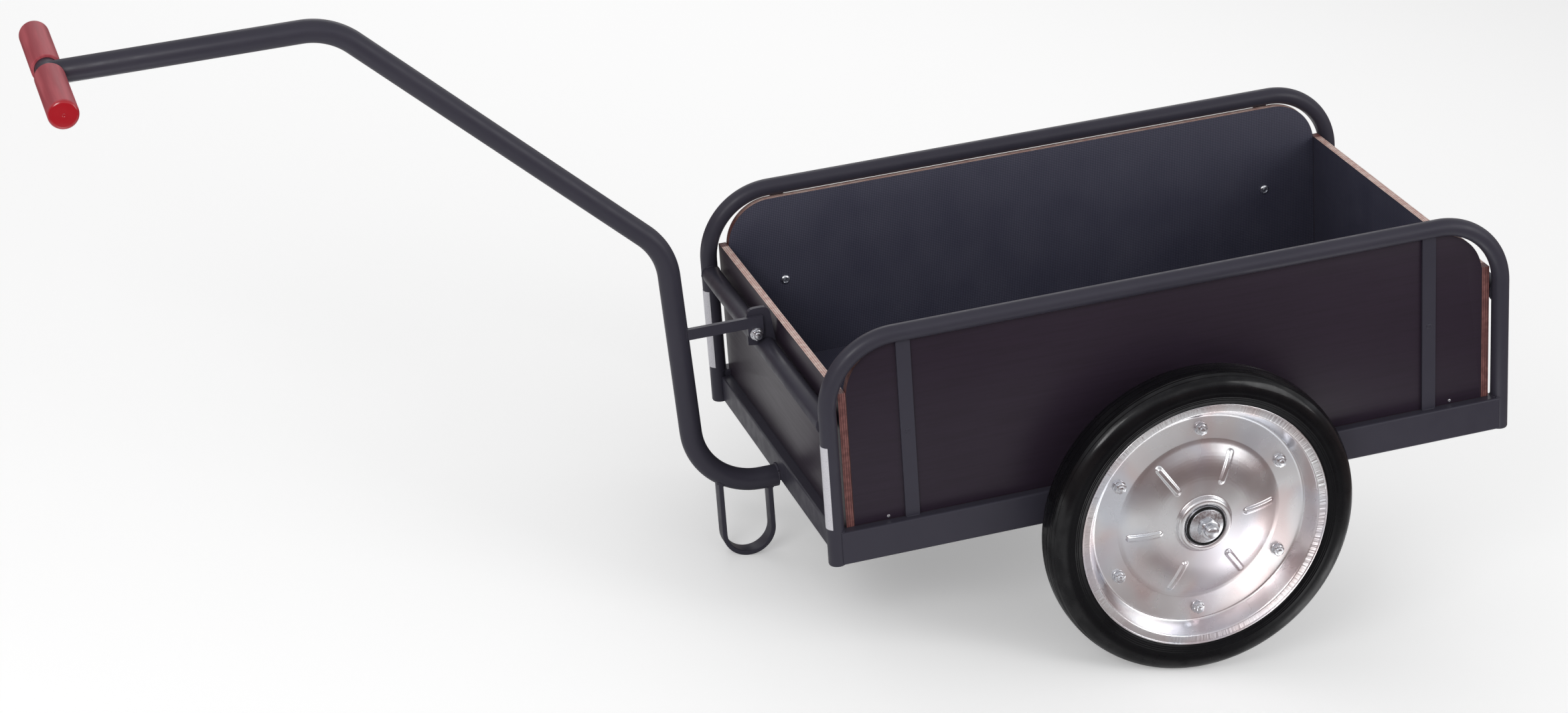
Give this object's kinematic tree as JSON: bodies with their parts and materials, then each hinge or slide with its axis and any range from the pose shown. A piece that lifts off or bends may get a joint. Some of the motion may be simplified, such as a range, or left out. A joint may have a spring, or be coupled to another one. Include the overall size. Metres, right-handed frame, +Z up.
{
  "type": "hand cart",
  "caption": "Hand cart with a tubular steel frame, an open plywood box, wheels on a fixed axle, and a bent drawbar with a T-handle and a parking foot.",
  "frame": {"origin": "on the ground, under the middle of the cart's length and width, with the cart parked on its wheels and its foot", "axes": "+X forward to the T-handle, +Y to the cart's left, +Z up; the box leans nose down by the parking angle"},
  "size_m": [1.8326, 0.712, 0.6684],
  "materials": {
    "powder_coat": "anthracite powder coat, semi-gloss",
    "plywood": "film-faced plywood, smooth outside and meshed inside",
    "rubber": "black rubber, slightly glossy",
    "zinc": "bright zinc plating",
    "grip": "red plastic, glossy at the ends"
  },
  "bodies": {
    "cart": {"hoop_left": "powder_coat", "hoop_right": "powder_coat", "rail_left": "powder_coat", "rail_right": "powder_coat", "strap_left_front": "powder_coat", "strap_left_rear": "powder_coat", "strap_right_front": "powder_coat", "strap_right_rear": "powder_coat", "cross_member_front": "powder_coat", "cross_member_rear": "powder_coat", "crossbar_front": "powder_coat", "crossbar_rear": "powder_coat", "floor_bearer_front": "powder_coat", "floor_bearer_rear": "powder_coat", "drawbar": "powder_coat", "t_handle": "powder_coat", "foot": "powder_coat", "brace_bracket": "powder_coat", "brace_strut": "powder_coat", "brace_bolt": "zinc", "axle": "powder_coat", "side_panel_left": "plywood", "side_panel_right": "plywood", "front_panel": "plywood", "rear_panel": "plywood", "floor_panel": "plywood", "grip_left": "grip", "grip_right": "grip", "spindle_left": "zinc", "spindle_right": "zinc", "washer_left": "zinc", "washer_right": "zinc", "nut_left": "zinc", "nut_right": "zinc"},
    "wheel_left": {"tyre_left": "rubber", "rim_left": "zinc", "disc_left": "zinc", "disc_inner_left": "zinc", "hub_left": "zinc", "seal_left": "rubber", "wheel_bolt_left_1": "zinc", "wheel_bolt_left_2": "zinc", "wheel_bolt_left_3": "zinc", "wheel_bolt_left_4": "zinc", "wheel_bolt_left_5": "zinc", "wheel_bolt_left_6": "zinc"},
    "wheel_right": {"tyre_right": "rubber", "rim_right": "zinc", "disc_right": "zinc", "disc_inner_right": "zinc", "hub_right": "zinc", "seal_right": "rubber", "wheel_bolt_right_1": "zinc", "wheel_bolt_right_2": "zinc", "wheel_bolt_right_3": "zinc", "wheel_bolt_right_4": "zinc", "wheel_bolt_right_5": "zinc", "wheel_bolt_right_6": "zinc"}
  },
  "joints": [
    {"name": "wheel_left_spin", "type": "hinge", "parent": "cart", "child": "wheel_left", "pos_m": [-0.48521, 0.31, 0.2], "axis": [0, 1, 0], "continuous": true},
    {"name": "wheel_right_spin", "type": "hinge", "parent": "cart", "child": "wheel_right", "pos_m": [-0.48521, -0.31, 0.2], "axis": [0, 1, 0], "continuous": true}
  ]
}
